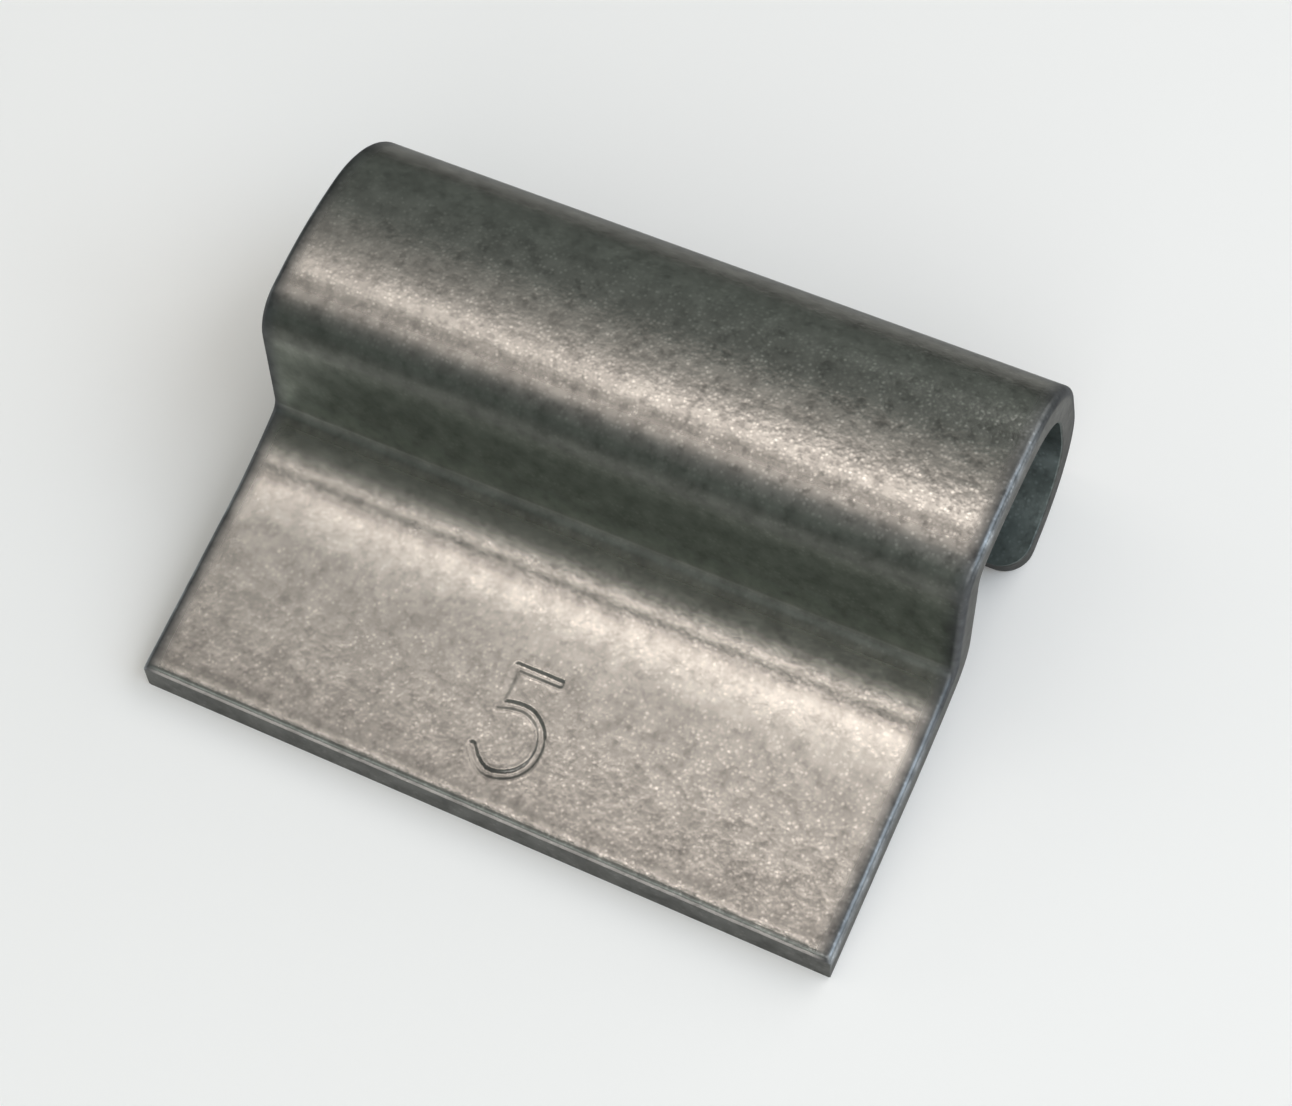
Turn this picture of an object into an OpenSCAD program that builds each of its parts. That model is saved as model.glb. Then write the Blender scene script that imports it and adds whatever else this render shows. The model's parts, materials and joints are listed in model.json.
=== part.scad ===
// Clip-on wheel balance weight, folded from one strip of sheet steel.
// A flat apron lies against the wheel rim. It rises gently to a sharp foot bend, from which the strip steps
// outwards over the lip of the rim and folds back behind the lip as a hook. The weight lies on its back: its
// apron's free edge and the hook's tip touch the ground at Z = 0, X runs along the strip's width, and Y from
// the apron to the hook.

/* [Sheet] */
// Thickness of the sheet
sheet = 1.05; // [0.8:0.05:1.5]
// Width of the strip, along the rim
strip_w = 21.8; // [10:0.1:60]
// Length of the short flats that join two bends
link_l = 0.3; // [0.2:0.1:1]
// Radius of the edge that the shears roll over, on the outer face
roll_r = 0.2; // [0.05:0.05:0.35]
// How much each face of the sheet draws in where it is bent
bend_thinning = 0.01; // [0.005:0.005:0.03]

/* [Apron] */
// Length of the flat apron, from its free edge to where it starts to rise
apron_l = 5.3; // [3:0.1:14]
// Slope of the cut along the apron's free edge, away from square
cut_slope = 14; // [0:1:20]
// Radius of the apron's gentle rise towards the foot bend, on the outer face
rise_r = 16; // [8:0.5:30]
// Angle of the apron's gentle rise
rise_angle = 10; // [4:1:16]
// Inside radius of the foot bend
foot_bend_r = 0.4; // [0.3:0.05:2]
// Angle of the foot bend
foot_bend_angle = 62.5; // [45:0.5:75]

/* [Step] */
// Flat length of the step that carries the hook clear of the rim's lip
step_l = 2.85; // [1:0.05:6]
// Inside radius of the shoulder bend
shoulder_bend_r = 0.4; // [0.3:0.05:1.5]
// Angle of the shoulder bend
shoulder_bend_angle = 69.5; // [55:0.5:85]

/* [Hook] */
// Inside radius of the front leg, which is slightly rounded all along
front_leg_r = 10.4; // [6:0.1:20]
// Angle that the front leg turns by along its length
front_leg_angle = 16; // [6:1:30]
// Inside radius of the two crown bends
crown_bend_r = 2.45; // [1.5:0.05:4]
// Angle of the crown bend beside the front leg
front_crown_angle = 73.5; // [55:0.5:85]
// Flat length between the two crown bends
crown_l = 1.15; // [0.3:0.05:4]
// Angle of the crown bend beside the back leg
back_crown_angle = 84; // [60:1:95]
// Flat length of the back leg, down to its tip
back_leg_l = 1.3; // [0.6:0.1:6]
// Radius of the tip's two corners
tip_corner_r = 0.9; // [0.2:0.1:1.2]

/* [Hidden] */
$fn = 96;

// The flats and bends in order from the apron's free edge: a flat's length, then the inside radius and the
// angle of the bend that follows it. An angle is positive towards the outer face.
folds = [
    [apron_l, rise_r, rise_angle],
    [link_l, foot_bend_r, foot_bend_angle],
    [step_l, shoulder_bend_r, -shoulder_bend_angle],
    [link_l, front_leg_r, -front_leg_angle],
    [link_l, crown_bend_r, -front_crown_angle],
    [crown_l, crown_bend_r, -back_crown_angle],
];
last = len(folds);
// Length by which a bend runs on inside the flats on its two sides, and its angle along the middle of the
// sheet
lap_l = 0.05;
function lap(inside_r) = lap_l / (inside_r + sheet / 2) * 180 / PI;

// How far the back edge of the sloped cut stands out past the front edge
cut_reach = sheet * tan(cut_slope);
// Middle of the rolled edge above the sloped cut, measured from the front edge
roll_x = roll_r * (1 - sin(cut_slope)) / cos(cut_slope);
// The tip's corners stay within the back leg
tip_r = min(tip_corner_r, back_leg_l);

// The strip in its own plane: x runs up the apron and y away from its outer face. Here are the turn of
// the strip before fold i, the point of its outer face there, and the middle of the bend in fold i.
function aim(i) = i == 0 ? 0 : aim(i - 1) + folds[i - 1][2];
function along(a) = [cos(a), sin(a)];
function across(a) = [-sin(a), cos(a)];
function pivot(i) = folds[i][2] > 0 ? folds[i][1] : -(sheet + folds[i][1]);
function centre(i) = start(i) + folds[i][0] * along(aim(i)) + pivot(i) * across(aim(i));
function start(i) = i == 0 ? [0, 0] : centre(i - 1) - pivot(i - 1) * across(aim(i));

// Point of the hook's outer face in bend i, where the turn of the strip is a
function crest(i, a) = centre(i) - (pivot(i) + bend_thinning) * across(a);

// What the lying weight rests on: the back edge of the cut, and the tip's rolled edge or the bend beside it
heel = [-cut_reach, -sheet];
tip_middle = start(last) + (back_leg_l - roll_r) * along(aim(last)) - roll_r * across(aim(last));
belly_shares = [for (i = [0:1:32]) i / 32];
belly = [for (s = belly_shares) crest(last - 1, aim(last - 1) + s * folds[last - 1][2])];
function fall(p, r) = atan2(heel[1] - p[1], p[0] - heel[0]) + asin(r / norm(p - heel));
lean = max(fall(tip_middle, roll_r), max([for (p = belly) fall(p, 0)]));

// The same points once the strip lies on the ground
function laid(p) = [cos(lean) * p[0] - sin(lean) * p[1], sin(lean) * p[0] + cos(lean) * p[1]];
function held(value, low, high) = max(low, min(high, value));
// Furthest point of a crown bend towards the back: where the strip runs straight down
function rear(i) = laid(crest(i, held(-90 - lean, aim(i + 1), aim(i))))[0];
front_y = min(laid(heel)[0], laid([0, 0])[0]);
rear_y = max(rear(last - 2), rear(last - 1));

// The strip's cross-section: x is the depth below the outer face, y runs along the width. The sheared
// edges are rolled over on the outer face, and every face may be drawn in by the same amount.
module strip_section(drawn_in = 0) {
    translate([roll_r, drawn_in - strip_w / 2])
        square([sheet - roll_r - drawn_in, strip_w - 2 * drawn_in]);
    translate([drawn_in, roll_r - strip_w / 2])
        square([sheet - 2 * drawn_in, strip_w - 2 * roll_r]);
    for (side = [-1, 1])
        translate([roll_r, side * (strip_w / 2 - roll_r)])
            circle(r = roll_r - drawn_in);
}

// A flat stretch of the strip, from x = 0
module flat(length) {
    rotate([-90, 0, 0])
        rotate([0, 90, 0])
            linear_extrude(height = length)
                strip_section();
}

// A bend of the strip with its near end at x = 0
module bend(inside_r, turn) {
    if (turn > 0)
        translate([0, inside_r, 0])
            rotate_extrude(angle = turn + 2 * lap(inside_r), start = -90 - lap(inside_r))
                translate([inside_r, 0])
                    strip_section(bend_thinning);
    else
        translate([0, -sheet - inside_r, 0])
            rotate_extrude(angle = -turn + 2 * lap(inside_r), start = 90 + turn - lap(inside_r))
                translate([sheet + inside_r, 0])
                    mirror([1, 0])
                        strip_section(bend_thinning);
}

// Side outline of the apron: a sloped cut with its upper edge rolled over
module apron_outline() {
    difference() {
        polygon([heel, [0, 0], [apron_l, 0], [apron_l, -sheet]]);
        difference() {
            polygon([
                [roll_x, -roll_r],
                [roll_x, roll_r],
                [roll_x - 2 * roll_r, roll_r],
                [roll_x, -roll_r] - 2 * roll_r * [cos(cut_slope), -sin(cut_slope)],
            ]);
            translate([roll_x, -roll_r])
                circle(r = roll_r);
        }
    }
}

module apron() {
    intersection() {
        translate([-sheet, 0, 0])
            flat(apron_l + 2 * sheet);
        linear_extrude(height = 2 * strip_w, center = true)
            apron_outline();
    }
}

// Side outline of the back leg: a square cut with its outer edge rolled over
module back_leg_outline() {
    translate([0, -sheet])
        square([back_leg_l, sheet - roll_r]);
    translate([0, -sheet])
        square([back_leg_l - roll_r, sheet]);
    translate([back_leg_l - roll_r, -roll_r])
        circle(r = roll_r);
}

// The back leg seen square on, with its two round corners at the tip
module back_leg_face() {
    translate([0, -strip_w / 2])
        square([back_leg_l - tip_r, strip_w]);
    translate([0, tip_r - strip_w / 2])
        square([back_leg_l, strip_w - 2 * tip_r]);
    for (side = [-1, 1])
        translate([back_leg_l - tip_r, side * (strip_w / 2 - tip_r)])
            circle(r = tip_r);
}

module back_leg() {
    intersection() {
        flat(back_leg_l + sheet);
        linear_extrude(height = 2 * strip_w, center = true)
            back_leg_outline();
        rotate([90, 0, 0])
            translate([0, 0, -sheet])
                linear_extrude(height = 3 * sheet)
                    back_leg_face();
    }
}

// Fold i and all that follows it, with the strip's outer face at the origin
module fold(i) {
    if (i == last) {
        back_leg();
    } else {
        if (i == 0)
            apron();
        else
            flat(folds[i][0]);
        translate([folds[i][0], 0, 0]) {
            bend(folds[i][1], folds[i][2]);
            translate([0, pivot(i), 0])
                rotate([0, 0, folds[i][2]])
                    translate([0, -pivot(i), 0])
                        fold(i + 1);
        }
    }
}

module balance_weight() {
    color([0.6, 0.58, 0.54])
        translate([0, -(front_y + rear_y) / 2, -laid(heel)[1]])
            rotate([90, 0, 90])
                rotate([0, 0, lean])
                    fold(0);
}

balance_weight();
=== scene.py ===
import json
import math

import bpy
import numpy as np
from mathutils import Matrix, Vector


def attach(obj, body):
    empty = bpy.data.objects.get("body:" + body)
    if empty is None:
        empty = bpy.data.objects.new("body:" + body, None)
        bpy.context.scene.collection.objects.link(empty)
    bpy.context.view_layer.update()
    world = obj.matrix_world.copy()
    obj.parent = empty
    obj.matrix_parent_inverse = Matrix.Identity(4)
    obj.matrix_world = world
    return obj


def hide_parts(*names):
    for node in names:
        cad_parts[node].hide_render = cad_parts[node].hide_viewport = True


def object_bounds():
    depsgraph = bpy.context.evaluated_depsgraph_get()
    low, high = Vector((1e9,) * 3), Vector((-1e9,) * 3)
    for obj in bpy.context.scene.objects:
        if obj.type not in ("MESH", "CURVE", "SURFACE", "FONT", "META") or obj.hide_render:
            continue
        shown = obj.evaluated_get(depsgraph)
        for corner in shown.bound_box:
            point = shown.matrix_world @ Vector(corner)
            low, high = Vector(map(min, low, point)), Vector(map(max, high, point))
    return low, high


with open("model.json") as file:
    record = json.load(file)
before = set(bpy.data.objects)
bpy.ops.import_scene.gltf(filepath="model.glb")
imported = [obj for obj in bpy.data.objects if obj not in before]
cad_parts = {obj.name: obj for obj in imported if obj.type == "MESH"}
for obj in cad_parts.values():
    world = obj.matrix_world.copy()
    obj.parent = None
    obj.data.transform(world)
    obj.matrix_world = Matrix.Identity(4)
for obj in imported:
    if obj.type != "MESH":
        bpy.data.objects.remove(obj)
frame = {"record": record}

CAD_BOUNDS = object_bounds()
MM = 0.001

# Sizes of the folded strip, in millimetres and degrees: the sheet's thickness, the strip's width, the
# radius of the edges that the shears roll over, the bevel of the edges on the inner face, the back leg's
# length, the radius of its tip's corners, and the slope of the cut along the free edge
SHEET = 1.05
WIDTH = 21.8
ROLL = 0.2
BREAK = 0.05
BACK_LEG = 1.3
TIP_CORNER = 0.9
CUT_SLOPE = 14.0
# A flat's length, the inside radius of the bend that follows it, and the bend's angle
FOLDS = [
    (5.3, 16.0, 10.0),
    (0.3, 0.4, 62.5),
    (2.85, 0.4, -69.5),
    (0.3, 10.4, -16.0),
    (0.3, 2.45, -73.5),
    (1.15, 2.45, -84.0),
]
# How far the strip leans as it lies on the ground: the slope of the apron's back, which is a mount
SEAT_AXIS = next(mount["axis"] for mount in frame["record"]["mounts"] if mount["name"] == "seat_face")
LEAN = math.atan2(SEAT_AXIS[1], -SEAT_AXIS[2])
# The back edge of the sloped cut, in the strip's own plane. It stands on the ground, at the box's front.
HEEL = (-SHEET * math.tan(math.radians(CUT_SLOPE)), -SHEET)
SHIFT_Y = CAD_BOUNDS[0][1] / MM - math.cos(LEAN) * HEEL[0] + math.sin(LEAN) * HEEL[1]
SHIFT_Z = -math.sin(LEAN) * HEEL[0] - math.cos(LEAN) * HEEL[1]

# Pitches of the mesh, in millimetres, and its steps in round stretches
ROW_PITCH = 0.15
COLUMN_PITCH = 0.16
FINE_PITCH = 0.042
INNER_PITCH = 0.36
WALL_PITCH = 0.14
BEND_STEP = 6.0
ROLL_STEPS = 6
CORNER_STEPS = 12
# How far the ring that closes each end lies inside the cut face, and the angle from which an edge is sharp
END_INSET = 0.04
SHARP_ANGLE = 35.0

# Press lines across the outer face: distance from the free edge, height, half width. Where one crosses a
# bend, the rows are closer together.
PRESS_LINES = [(0.33, 0.006, 0.12), (7.0, 0.0032, 0.18)]
FINE_STRETCHES = [(6.5, 7.6)]
FINE_ROW = 0.05

# The stamped numeral: x from the strip's left end, u from the apron's free edge. First the stretches that
# have a fine mesh, then its strokes, then the groove's sizes and how deep the stamp bites at the bar's ends.
NUMERAL_X = (9.7, 12.25)
NUMERAL_U = (0.85, 4.7)
NUMERAL_MARGIN = 0.2
BAR = [(10.25, 4.2), (11.62, 4.2)]
STEM = [(10.25, 4.2), (10.25, 3.0)]
BOWL = [(10.25, 3.0), (10.66, 3.12), (11.16, 3.12), (11.64, 2.82), (11.87, 2.3), (11.82, 1.76),
        (11.55, 1.36), (11.15, 1.14), (10.72, 1.09), (10.35, 1.28), (10.04, 1.62)]
GROOVE_HALF = 0.135
GROOVE_WALL = 0.08
GROOVE_DEPTH = 0.024
STAMP_BITE = (0.65, 1.1)
LIP_HEIGHT = 0.004
LIP_HALF = 0.05

# Plating along the outer face, with painted light: distance from the free edge, brightness as a share of the
# bright or the green colour, share of green, roughness. The brightness paints highlight bands at the free
# edge, the apron's top and the front leg, and shade, greenish, in the recess and near the hook's top
PLATING_WITH_PAINTED_LIGHT = [
    (0.0, 1.05, 0.0, 0.25), (0.14, 1.25, 0.0, 0.22), (0.36, 0.67, 0.0, 0.22), (1.0, 0.74, 0.0, 0.2),
    (2.4, 0.96, 0.0, 0.2), (4.5, 1.07, 0.0, 0.2), (5.0, 1.2, 0.0, 0.2), (5.4, 1.43, 0.0, 0.2),
    (5.8, 1.5, 0.0, 0.2), (6.4, 1.21, 0.0, 0.2), (6.6, 0.92, 0.0, 0.2), (6.9, 1.0, 0.0, 0.2),
    (7.2, 1.28, 0.0, 0.22), (7.4, 1.22, 0.1, 0.22), (7.6, 0.86, 0.3, 0.22), (7.8, 0.68, 0.5, 0.21),
    (8.2, 0.43, 0.8, 0.26), (8.5, 0.37, 0.6, 0.42), (8.7, 0.48, 0.6, 0.42), (8.8, 1.1, 0.8, 0.42),
    (9.0, 1.13, 1.0, 0.4), (9.6, 0.76, 1.0, 0.4), (10.6, 0.54, 1.0, 0.4), (11.2, 0.52, 1.0, 0.4),
    (11.7, 0.66, 0.8, 0.4), (12.0, 0.38, 0.7, 0.4), (12.3, 0.33, 0.7, 0.4), (12.7, 0.3, 0.6, 0.36),
    (13.0, 0.47, 0.3, 0.4), (13.2, 0.69, 0.1, 0.4), (13.4, 0.84, 0.0, 0.36), (13.6, 0.91, 0.0, 0.26),
    (13.8, 0.72, 0.0, 0.2), (14.2, 1.22, 0.0, 0.2), (15.0, 1.09, 0.0, 0.2), (15.8, 1.17, 0.05, 0.2),
    (16.8, 1.03, 0.2, 0.2), (18.0, 1.01, 0.4, 0.22), (18.5, 0.98, 0.4, 0.22), (18.8, 0.77, 0.4, 0.24),
    (19.0, 0.5, 0.4, 0.24), (19.2, 0.4, 0.4, 0.24), (19.6, 0.58, 0.4, 0.24), (19.85, 0.55, 0.4, 0.24),
    (20.2, 0.21, 0.4, 0.24), (20.8, 0.43, 0.4, 0.24),
]
BRIGHT = (0.43, 0.405, 0.382)
# The colour of the painted shade, greenish, in the recess and near the hook's top
SHADE_GREEN = (0.36, 0.39, 0.335)
# The back face's colour and roughness: painted shade, dark and greenish as inside the hook
BACK_FACE_SHADE = (0.18, 0.21, 0.205, 0.42)
# Width over which the outer face grows darker and rougher towards its sheared edges, and the colour there:
# the darkening is painted shade where the edge rolls over
SHADED_EDGE_WIDTH = 0.7
EDGE_SHADE = (0.1, 0.104, 0.108, 0.42)
# The shears leave a dull cut face, painted darker as shade as well, with a burnished band at the rolled edge
# that is
# painted brighter as a glint: the band's share by distance from the strip's side, by depth and by distance
# from the free edge, where it fades in the recess as painted shade, and the share of the cut face's
# brightness, painted darker towards the tip as shade
CUT_FACE = (0.2, 0.2, 0.19, 0.4)
BURNISH_GLINT = (0.7, 0.74, 0.78, 0.32)
BURNISH_GLINT_ROLLED = [(0.0, 0.6), (0.02, 0.65), (0.06, 0.42), (0.1, 0.2), (0.15, 0.0)]
BURNISH_GLINT_DEPTH = [(0.2, 0.6), (0.34, 0.35), (0.47, 0.15), (0.6, 0.0)]
BURNISH_GLINT_PLACE = [(0.3, 1.0), (5.5, 1.0), (7.5, 0.15), (12.8, 0.1), (13.8, 0.8), (16.0, 0.8), (18.0, 0.0)]
# Painted shade: the cut faces grow darker towards the tip
CUT_SHADE_SHARE = [(21.0, 1.0), (24.0, 0.55)]
# How the burnished band and its painted glint come and go along the strip: its mean share and the share it
# swings by, the turns for each millimetre in radians, and how unevenly they come
BAND_MEAN = 0.75
BAND_SWING = 0.25
BAND_TURNS = 4.1
UNEVEN = 2.0
UNEVEN_TURNS = 2.3
# How strongly the grains sparkle, by distance from the free edge and by place across the strip: the strength
# of the glints painted into the grains, higher on the lit front leg and towards the right end and lower in
# the recess, and of the pits and the bumps
SPARKLE_PLACE = [(0.0, 1.0), (4.5, 0.9), (5.8, 0.5), (8.0, 0.5), (9.0, 0.35), (12.5, 0.45), (13.6, 1.4),
                 (16.5, 1.35), (18.5, 0.75)]
SPARKLE_ACROSS = [(-WIDTH / 2, 0.5), (WIDTH / 2, 1.1)]
SPARKLE_ENDS = 0.5


def direction(angle):
    return np.array([math.cos(math.radians(angle)), math.sin(math.radians(angle))])


def outward(angle):
    return np.array([-math.sin(math.radians(angle)), math.cos(math.radians(angle))])


def spread(low, high, pitch):
    """Evenly spaced values from low to high, the first and last included."""
    count = max(1, round((high - low) / pitch))
    return [low + (high - low) * k / count for k in range(count + 1)]


def quarter_turn(steps):
    return [math.radians(90 * k / steps) for k in range(steps + 1)]


def roll_places():
    """Distances from a sheared edge, across its rolled edge and up to where it ends."""
    return [ROLL * (1 - math.cos(turn)) for turn in quarter_turn(ROLL_STEPS)[:-1]]


def mixed(low, high, pitch, fine_from, fine_to):
    """Values from low to high with a finer pitch between two of them."""
    values = spread(low, fine_from, pitch) + spread(fine_from, fine_to, FINE_PITCH)[1:]
    return values + spread(fine_to, high, pitch)[1:]


def is_fine(s):
    return any(low < s < high for low, high in FINE_STRETCHES)


def bend_shares(steps, run, arc):
    """Shares of a bend's turn, closer together beside a press line."""
    shares = []
    for k in range(steps):
        low, high = k / steps, (k + 1) / steps
        parts = 1
        if is_fine(run + arc * (low + high) / 2):
            parts = max(1, round(arc / steps / FINE_ROW))
        shares += [low + (high - low) * (j + 1) / parts for j in range(parts)]
    return shares


def press_height(s):
    return sum(height * math.exp(-((s - middle) / half) ** 2) for middle, height, half in PRESS_LINES)


def free_edge_stations():
    """The rolled edge above the sloped cut: outer point, inner point, distance along, depth rolled off."""
    slope = math.radians(CUT_SLOPE)
    middle = np.array([ROLL * (1 - math.sin(slope)) / math.cos(slope), -ROLL])
    top = middle[0]
    stations = []
    for k in range(ROLL_STEPS):
        share = k / ROLL_STEPS
        turn = 180 - CUT_SLOPE - share * (90 - CUT_SLOPE)
        outer = middle + ROLL * direction(turn)
        inner = np.array([HEEL[0] + share * (top - HEEL[0]), HEEL[1]])
        stations.append((outer, inner, outer[0], -outer[1]))
    return stations, top


def strip_stations():
    """Places along the strip: outer point, inner point, distance along the outer face, depth rolled off."""
    stations, top = free_edge_stations()
    place, angle, run = np.array([0.0, 0.0]), 0.0, 0.0
    for index, (length, inside, turn) in enumerate(FOLDS):
        if index == 0:
            places = mixed(top, length, ROW_PITCH, *NUMERAL_U)
        else:
            places = spread(0.0, length, ROW_PITCH)[1:]
        for s in places:
            outer = place + s * direction(angle)
            stations.append((outer, outer - SHEET * outward(angle), run + s, 0.0))
        place, run = place + length * direction(angle), run + length
        arm = inside if turn > 0 else -(SHEET + inside)
        centre = place + arm * outward(angle)
        arc = math.radians(abs(turn)) * abs(arm)
        steps = max(round(abs(turn) / BEND_STEP), round(arc / ROW_PITCH))
        for share in bend_shares(steps, run, arc):
            now = angle + turn * share
            outer = centre - arm * outward(now)
            stations.append((outer, outer - SHEET * outward(now), run + arc * share, 0.0))
        angle, run = angle + turn, run + arc
        place = centre - arm * outward(angle)
    straight = BACK_LEG - TIP_CORNER
    corner = [straight + TIP_CORNER * math.sin(turn) for turn in quarter_turn(CORNER_STEPS)]
    rolled = [BACK_LEG - drawn for drawn in roll_places()[1:]]
    for s in sorted(set(spread(0.0, straight, ROW_PITCH)[1:] + corner[1:] + rolled)):
        outer = place + s * direction(angle)
        stations.append((outer, outer - SHEET * outward(angle), run + s, 0.0))
    return stations, run + BACK_LEG


def ring_columns():
    """The strip's cross-section as a closed ring: place across the width, depth, which points are outer."""
    half = WIDTH / 2
    roll = [half - drawn for drawn in roll_places()]
    flat = mixed(-half + ROLL, half - ROLL, COLUMN_PITCH, NUMERAL_X[0] - half, NUMERAL_X[1] - half)
    outer = [(-x, None) for x in roll] + [(x, None) for x in flat] + [(x, None) for x in reversed(roll)]
    depths = spread(ROLL, SHEET - BREAK, WALL_PITCH)[1:]
    wall = [(half, depth) for depth in depths]
    inner = [(x, SHEET) for x in spread(half - BREAK, -half + BREAK, -INNER_PITCH)]
    other = [(-half, depth) for depth in reversed(depths)]
    ring = outer + wall + inner + other
    across = np.array([x for x, _ in ring])
    is_outer = np.array([depth is None for _, depth in ring])
    depth = np.array([0.0 if depth is None else depth for _, depth in ring])
    return across, depth, is_outer


def half_width(s, length):
    """Half of the strip's width at s, narrower at the tip's round corners."""
    beyond = s - (length - TIP_CORNER)
    if beyond <= 0:
        return WIDTH / 2
    return WIDTH / 2 - TIP_CORNER + math.sqrt(max(0.0, TIP_CORNER ** 2 - beyond ** 2))


def edge_distance(x, s, length):
    """Distance from the outline's edge at the two sides and the tip."""
    side = WIDTH / 2 - np.abs(x)
    tip = length - s
    square = np.minimum(side, tip)
    to_side = TIP_CORNER - side
    to_tip = TIP_CORNER - tip
    round_corner = TIP_CORNER - np.hypot(to_side, to_tip)
    return np.maximum(0.0, np.where((to_side > 0) & (to_tip > 0), round_corner, square))


def rolled_depth(distance):
    inside = np.clip(ROLL - distance, 0.0, ROLL)
    return ROLL - np.sqrt(ROLL ** 2 - inside ** 2)


def smooth_line(points, steps=12):
    """A rounded line through the points."""
    p = [np.array(q) for q in points]
    p = [2 * p[0] - p[1]] + p + [2 * p[-1] - p[-2]]
    line = []
    for a, b, c, d in zip(p, p[1:], p[2:], p[3:]):
        for k in range(steps):
            t = k / steps
            line.append(0.5 * (2 * b + (c - a) * t + (2 * a - 5 * b + 4 * c - d) * t ** 2
                               + (3 * b - a - 3 * c + d) * t ** 3))
    return line + [p[-2]]


def line_distance(x, u, line):
    """Distance of each point (x, u) from a line of straight stretches."""
    nearest = np.full(np.shape(x), 1e9)
    for a, b in zip(line, line[1:]):
        a, b = np.array(a), np.array(b)
        along = b - a
        share = ((x - a[0]) * along[0] + (u - a[1]) * along[1]) / (along @ along)
        share = np.clip(share, 0.0, 1.0)
        gap = np.hypot(x - a[0] - share * along[0], u - a[1] - share * along[1])
        nearest = np.minimum(nearest, gap)
    return nearest


def numeral_depth(x, u):
    """How deep the stamp presses the outer face in; negative on the raised lips beside it."""
    gap = np.minimum(line_distance(x, u, BAR), line_distance(x, u, STEM))
    gap = np.minimum(gap, line_distance(x, u, smooth_line(BOWL)))
    bite = STAMP_BITE[0] + (STAMP_BITE[1] - STAMP_BITE[0]) * (x - BAR[0][0]) / (BAR[1][0] - BAR[0][0])
    wall = np.clip((GROOVE_HALF - gap) / GROOVE_WALL, 0.0, 1.0)
    groove = GROOVE_DEPTH * bite * wall * wall * (3 - 2 * wall)
    lip = np.clip(1 - np.abs(gap - GROOVE_HALF - LIP_HALF) / LIP_HALF, 0.0, 1.0)
    return groove - LIP_HEIGHT * lip * lip * (3 - 2 * lip)


def lying(x, u, v):
    """A point of the strip's own plane, once the strip lies on the ground, in metres."""
    y = math.cos(LEAN) * u - math.sin(LEAN) * v + SHIFT_Y
    z = math.sin(LEAN) * u + math.cos(LEAN) * v + SHIFT_Z
    return np.column_stack([x, y, z]) * MM


def ring_points(station, columns, length, inset=0.0):
    """One ring of the strip's mesh. An inset ring lies inside its cut face."""
    outer, inner, s, rolled = station
    across, depth, is_outer = columns
    x = across * half_width(s, length) / (WIDTH / 2)
    below = np.where(is_outer, rolled_depth(edge_distance(x, s, length)), depth)
    below = np.where(below <= ROLL, below * (1 - rolled / ROLL), below - rolled)
    below = below - np.where(is_outer & (below < ROLL / 2), press_height(s), 0.0)
    if NUMERAL_U[0] - NUMERAL_MARGIN < s < NUMERAL_U[1] + NUMERAL_MARGIN:
        below = below + np.where(is_outer, numeral_depth(x + WIDTH / 2, s), 0.0)
    share = below / (SHEET - rolled)
    if inset:
        middle = 0.5
        share = middle + (share - middle) * (1 - 2 * inset / SHEET)
        x = x * (1 - 2 * inset / WIDTH)
    u = outer[0] + share * (inner[0] - outer[0])
    v = outer[1] + share * (inner[1] - outer[1])
    return lying(x, u, v)


def stops(pairs, value):
    """The value's level on a line through pairs of place and level."""
    return np.interp(value, *zip(*pairs))


def blend(first, second, share):
    """Rows that go from the first colour and roughness to the second by their share."""
    return np.array(first) * (1 - share[:, None]) + np.array(second) * share[:, None]


def unbroken(s):
    """The share of the burnished band, with its painted glint, that is left unbroken at a place along the
    strip.
    """
    return BAND_MEAN + BAND_SWING * math.sin(BAND_TURNS * s + UNEVEN * math.sin(UNEVEN_TURNS * s))


def ring_plating_and_painted_light(s, columns):
    """The plating's colour and roughness at each point of a ring, with painted light: highlights and shade
    painted along the strip; darker and rougher towards the sheared edges, the darkening painted shade; the
    burnished band brightened as a painted glint; painted shade on the cut faces and the back face.
    """
    across, depth, is_outer = columns
    places, shares, greens, roughs = zip(*PLATING_WITH_PAINTED_LIGHT)
    share, green, rough = (np.interp(s, places, values) for values in (shares, greens, roughs))
    # The plating's colour with painted highlights along the strip and painted shade, greenish, in the recess
    colour = share * (np.array(BRIGHT) * (1 - green) + np.array(SHADE_GREEN) * green)
    side = WIDTH / 2 - np.abs(across)
    # Painted shade: the outer face darkens towards its sheared edges, where it rolls over
    flat = np.clip(side / SHADED_EDGE_WIDTH, 0.0, 1.0)
    flat = flat * flat * (3 - 2 * flat)
    outer = blend(EDGE_SHADE, [*colour, rough], flat)
    # The burnished band, brightened as a painted glint that fades as painted shade in the recess
    burnish_glint = stops(BURNISH_GLINT_PLACE, s) * unbroken(s)
    outer = blend(outer, BURNISH_GLINT, stops(BURNISH_GLINT_ROLLED, side) * burnish_glint)
    cut = blend(CUT_FACE, BURNISH_GLINT, stops(BURNISH_GLINT_DEPTH, depth) * burnish_glint)
    # Painted shade: the cut faces darken towards the tip
    cut = cut * [*[stops(CUT_SHADE_SHARE, s)] * 3, 1.0]
    # Painted shade on the back face
    other = np.where((depth < SHEET)[:, None], cut, BACK_FACE_SHADE)
    return np.where(is_outer[:, None], outer, other)


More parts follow.
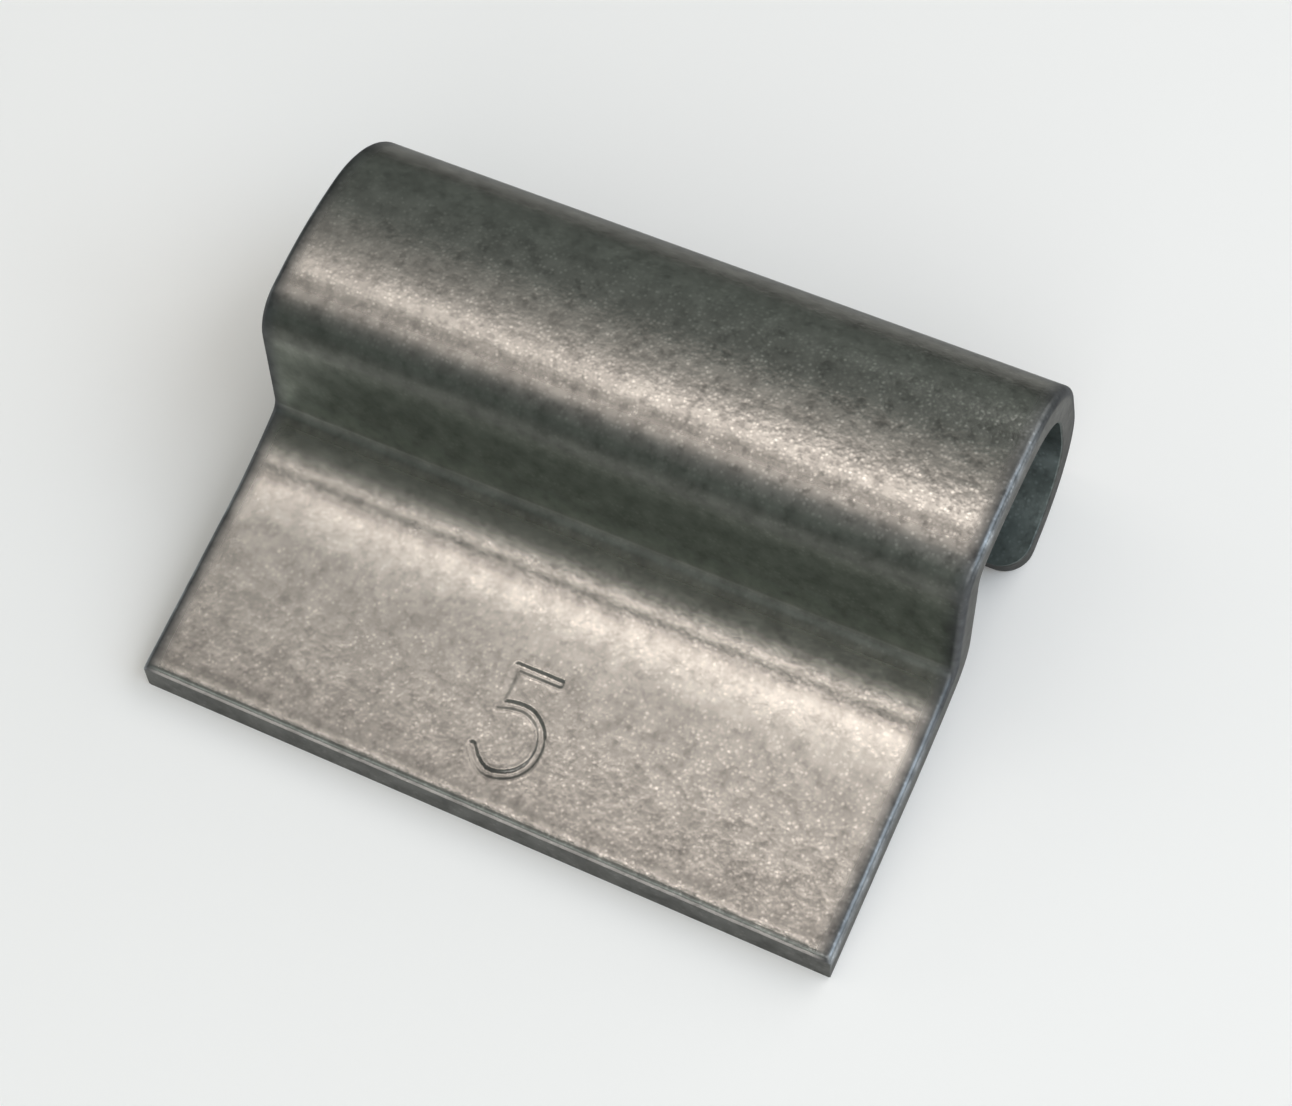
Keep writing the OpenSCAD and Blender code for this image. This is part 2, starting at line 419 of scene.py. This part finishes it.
def strip_mesh():
    stations, length = strip_stations()
    columns = ring_columns()
    rings = [ring_points(stations[0], columns, length, END_INSET)]
    rings += [ring_points(station, columns, length) for station in stations]
    rings.append(ring_points(stations[-1], columns, length, END_INSET))
    count = len(columns[0])
    # The end faces take the cut face's colour, which is partly painted shade, darker still at the tip
    cut = np.tile(CUT_FACE, (count, 1))
    tip = cut * [*[stops(CUT_SHADE_SHARE, length)] * 3, 1.0]
    plating_and_painted_light = [cut] + [ring_plating_and_painted_light(station[2], columns) for station in stations] + [tip]
    sparkle = [np.full(count, SPARKLE_ENDS)]
    sparkle += [stops(SPARKLE_PLACE, station[2]) * stops(SPARKLE_ACROSS, columns[0]) for station in stations]
    sparkle.append(sparkle[0])
    faces = []
    for r in range(len(rings) - 1):
        for k in range(count):
            following = (k + 1) % count
            faces.append((r * count + k, r * count + following,
                          (r + 1) * count + following, (r + 1) * count + k))
    first = list(range(count))
    final = [(len(rings) - 1) * count + k for k in range(count)]
    faces.append(tuple(reversed(first)))
    faces.append(tuple(final))
    mesh = bpy.data.meshes.new("folded_strip")
    mesh.from_pydata(np.vstack(rings).tolist(), [], faces)
    # The plating's colour with its painted light, and its roughness, at each point
    colours = mesh.attributes.new("plating_and_painted_light", "FLOAT_COLOR", "POINT")
    colours.data.foreach_set("color", np.vstack(plating_and_painted_light).ravel())
    sparkles = mesh.attributes.new("sparkle", "FLOAT", "POINT")
    sparkles.data.foreach_set("value", np.concatenate(sparkle))
    mesh.validate()
    mesh.shade_smooth()
    mesh.set_sharp_from_angle(angle=math.radians(SHARP_ANGLE))
    return mesh


# Material

EDGE_TINT = (0.5, 0.5, 0.5, 1)
# Sizes of the grains, the pits and the mottling, and how high each stands, in millimetres
GRAIN = 0.13
PITTING = 0.3
MOTTLE = 0.6
GRAIN_HEIGHT = 0.006
PITTING_HEIGHT = 0.02
MOTTLE_HEIGHT = 0.018
NOISE_DETAIL = 2.0
NOISE_ROUGHNESS = 0.55
# A texture's values in a range, and the levels that they become: clouds and pits darken or brighten the
# plating, a spark is a glint painted into the middle of a grain whose own value is high, and relief is the
# bumps' strength
CLOUDS = ((0.3, 0.7), (0.82, 1.18))
PITS = ((0.25, 0.45), (-0.26, 0.0))
GRAIN_MIDDLE = ((0.0, 0.55), (1.0, 0.0))
SPARK = ((0.3, 0.85), (0.0, 0.65))
UNLIT_GRAIN = 0.95
RELIEF = ((0.0, 2.0), (0.0, 0.6))


def new_node(tree, kind, place, **sockets):
    node = tree.nodes.new(kind)
    node.location = place
    for name, value in sockets.items():
        node.inputs[name.replace("_", " ")].default_value = value
    return node


def noise(tree, place, vector, size):
    """A noise texture whose spots are about the given size, in millimetres."""
    node = new_node(tree, "ShaderNodeTexNoise", place, Scale=1 / (size * MM), Detail=NOISE_DETAIL,
                    Roughness=NOISE_ROUGHNESS)
    tree.links.new(vector, node.inputs["Vector"])
    return node.outputs["Fac"]


def grains(tree, place, vector, size):
    """Grains of the given size, in millimetres: the distance from a grain's middle, and its own value."""
    node = new_node(tree, "ShaderNodeTexVoronoi", place, Scale=1 / (size * MM))
    tree.links.new(vector, node.inputs["Vector"])
    return node.outputs["Distance"], node.outputs["Color"]


def level(tree, place, value, value_range, level_range):
    """A texture's values in one range turned into levels in another."""
    node = new_node(tree, "ShaderNodeMapRange", place, From_Min=value_range[0], From_Max=value_range[1],
                    To_Min=level_range[0], To_Max=level_range[1])
    tree.links.new(value, node.inputs["Value"])
    return node.outputs["Result"]


def product(tree, place, first, second, added=0.0):
    """The product of two values, and a number added to it."""
    node = tree.nodes.new("ShaderNodeMath")
    node.operation = "MULTIPLY_ADD"
    node.location = place
    tree.links.new(first, node.inputs[0])
    tree.links.new(second, node.inputs[1])
    node.inputs[2].default_value = added
    return node.outputs["Value"]


def scaled(tree, place, colour, factor):
    """A colour made brighter or darker by a factor."""
    node = tree.nodes.new("ShaderNodeVectorMath")
    node.operation = "SCALE"
    node.location = place
    tree.links.new(colour, node.inputs[0])
    tree.links.new(factor, node.inputs["Scale"])
    return node.outputs["Vector"]


def bump(tree, place, height, strength, distance, normal=None, invert=False):
    """A bump of the given depth, in millimetres, on top of another one. Its strength may vary by place."""
    node = new_node(tree, "ShaderNodeBump", place, Distance=distance * MM)
    node.invert = invert
    tree.links.new(strength, node.inputs["Strength"])
    tree.links.new(height, node.inputs["Height"])
    if normal is not None:
        tree.links.new(normal, node.inputs["Normal"])
    return node.outputs["Normal"]


def plated_steel():
    material = bpy.data.materials.new("weight_steel")
    material.use_nodes = True
    tree = material.node_tree
    tree.nodes.clear()
    link = tree.links.new
    output = new_node(tree, "ShaderNodeOutputMaterial", (900, 0))
    shader = new_node(tree, "ShaderNodeBsdfPrincipled", (600, 0), Metallic=1.0, Specular_Tint=EDGE_TINT)
    place = new_node(tree, "ShaderNodeTexCoord", (-1200, 0)).outputs["Object"]
    # The plating's colour with its painted highlights and shade, and its roughness
    plating_and_painted_light = new_node(tree, "ShaderNodeAttribute", (-1200, 400))
    plating_and_painted_light.attribute_name = "plating_and_painted_light"
    sparkle = new_node(tree, "ShaderNodeAttribute", (-1200, 650))
    sparkle.attribute_name = "sparkle"

    grain, grain_own = grains(tree, (-1000, -200), place, GRAIN)
    pitting = noise(tree, (-1000, -450), place, PITTING)
    mottle = noise(tree, (-1000, -700), place, MOTTLE)

    clouds = level(tree, (-700, 0), mottle, *CLOUDS)
    # Painted glints: the middles of grains whose own value is high are brightened
    middle = level(tree, (-900, 250), grain, *GRAIN_MIDDLE)
    glint_strength = level(tree, (-900, 500), grain_own, *SPARK)
    glint_strength = product(tree, (-800, 650), glint_strength, sparkle.outputs["Fac"])
    painted_glints = product(tree, (-700, 250), middle, glint_strength, UNLIT_GRAIN)
    pits = level(tree, (-900, 800), pitting, *PITS)
    pits = product(tree, (-700, 500), pits, sparkle.outputs["Fac"], 1.0)
    colour = scaled(tree, (-450, 400), plating_and_painted_light.outputs["Color"], clouds)
    colour = scaled(tree, (-250, 400), colour, painted_glints)
    colour = scaled(tree, (-50, 400), colour, pits)
    link(colour, shader.inputs["Base Color"])
    link(plating_and_painted_light.outputs["Alpha"], shader.inputs["Roughness"])

    relief = level(tree, (-900, -900), sparkle.outputs["Fac"], *RELIEF)
    normal = bump(tree, (-300, -700), mottle, relief, MOTTLE_HEIGHT)
    normal = bump(tree, (-100, -500), pitting, relief, PITTING_HEIGHT, normal)
    normal = bump(tree, (100, -300), grain, relief, GRAIN_HEIGHT, normal, invert=True)
    link(normal, shader.inputs["Normal"])
    link(shader.outputs["BSDF"], output.inputs["Surface"])
    return material


def folded_strip():
    mesh = strip_mesh()
    mesh.materials.append(plated_steel())
    strip = bpy.data.objects.new("folded_strip", mesh)
    bpy.context.scene.collection.objects.link(strip)
    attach(strip, "root")
    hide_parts("balance_weight")


# Stage, light and camera

FLOOR_HALF = 0.6
FLOOR_COLOUR = (0.945, 0.92, 0.902)
FLOOR_ROUGHNESS = 0.9
WORLD_LEVEL = 0.19
WORLD_COLOUR = (0.89, 1.0, 0.95)
LAMP_COLOUR = (1.08, 1.0, 0.93)
# Strips of light overhead: name, from y, to y, radiance. All reach over the same stretches of x, each of
# which has its own share of the radiance.
LAMP_HEIGHT = 0.3
STRETCHES = [("a", -0.28, -0.15, 0.45), ("b", -0.15, -0.09, 0.75), ("c", -0.09, 0.05, 1.0)]
STRIPS = [
    ("front_strip", -0.055, -0.037, 3.7),
    ("middle", -0.037, 0.010, 0.42),
    ("back_strip", 0.010, 0.036, 1.9),
    ("back_soft", 0.036, 0.075, 0.52),
    ("back_far", 0.075, 0.130, 0.22),
]
# Larger lamps: name, radiance, place, size, colour
PLAIN = (1.0, 1.0, 1.0)
COOL = (0.84, 0.95, 1.07)
GREENISH = (0.85, 1.0, 0.95)
PANELS = [
    ("front_panel", 0.35, (-0.08, -0.4, 0.2), (0.5, 0.2), GREENISH),
    ("left_panel", 0.8, (-0.40, -0.1, 0.12), (0.3, 0.2), PLAIN),
    ("right_front", 1.75, (0.16, -0.26, 0.24), (0.34, 0.34), PLAIN),
    ("right_back", 1.6, (0.16, 0.28, 0.24), (0.34, 0.34), PLAIN),
    ("right_panel", 2.0, (0.28, 0.02, 0.25), (0.3, 0.3), COOL),
]


def floor():
    mesh = bpy.data.meshes.new("floor")
    corners = [(-1, -1), (1, -1), (1, 1), (-1, 1)]
    mesh.from_pydata([(x * FLOOR_HALF, y * FLOOR_HALF, 0.0) for x, y in corners], [], [(0, 1, 2, 3)])
    material = bpy.data.materials.new("floor_paper")
    material.use_nodes = True
    shader = material.node_tree.nodes["Principled BSDF"]
    shader.inputs["Base Color"].default_value = (*FLOOR_COLOUR, 1)
    shader.inputs["Roughness"].default_value = FLOOR_ROUGHNESS
    shader.inputs["Specular IOR Level"].default_value = 0.0
    mesh.materials.append(material)
    paper = bpy.data.objects.new("floor", mesh)
    bpy.context.scene.collection.objects.link(paper)


def soft_lamp(name, place, aim, size, radiance, colour):
    """A rectangular lamp whose face has the given radiance. Place, aim and size are in metres."""
    data = bpy.data.lights.new(name, "AREA")
    data.shape = "RECTANGLE"
    data.size, data.size_y = size
    data.energy = radiance * math.pi * size[0] * size[1]
    data.color = colour
    lamp = bpy.data.objects.new(name, data)
    bpy.context.scene.collection.objects.link(lamp)
    lamp.location = place
    lamp.rotation_euler = (Vector(aim) - Vector(place)).to_track_quat("-Z", "Y").to_euler()


def lights():
    for part, x_from, x_to, share in STRETCHES:
        for name, y_from, y_to, radiance in STRIPS:
            x, y = (x_from + x_to) / 2, (y_from + y_to) / 2
            size = (x_to - x_from, y_to - y_from)
            soft_lamp(f"{name}_{part}", (x, y, LAMP_HEIGHT), (x, y, 0), size, radiance * share, LAMP_COLOUR)
    for name, radiance, place, size, colour in PANELS:
        soft_lamp(name, place, (0, 0, 0), size, radiance, colour)
    world = bpy.data.worlds.new("studio")
    world.use_nodes = True
    background = world.node_tree.nodes["Background"]
    background.inputs["Color"].default_value = (*WORLD_COLOUR, 1)
    background.inputs["Strength"].default_value = WORLD_LEVEL
    bpy.context.scene.world = world


# The camera's place, in millimetres, and its right, up and forward directions, as fitted to the photo
CAMERA_PLACE = (22.0129, -35.2507, 69.5928)
CAMERA_RIGHT = (0.89676192, 0.44005558, -0.04657421)
CAMERA_UP = (-0.35429213, 0.77705235, 0.52025641)
CAMERA_FORWARD = (-0.26513234, 0.45004526, -0.85273918)
LENS = 76.177
SENSOR_WIDTH = 36.0
CLIP_START = 0.005
CLIP_END = 10.0


def camera():
    data = bpy.data.cameras.new("camera")
    data.sensor_fit = "HORIZONTAL"
    data.sensor_width = SENSOR_WIDTH
    data.lens = LENS
    data.clip_start = CLIP_START
    data.clip_end = CLIP_END
    eye = bpy.data.objects.new("camera", data)
    bpy.context.scene.collection.objects.link(eye)
    right, up = Vector(CAMERA_RIGHT), Vector(CAMERA_UP)
    back = -Vector(CAMERA_FORWARD)
    turn = Matrix((right, up, back)).transposed().to_4x4()
    eye.matrix_world = Matrix.Translation(Vector(CAMERA_PLACE) * MM) @ turn
    bpy.context.scene.camera = eye


folded_strip()
floor()
lights()
camera()
bpy.context.scene.view_settings.view_transform = "Standard"
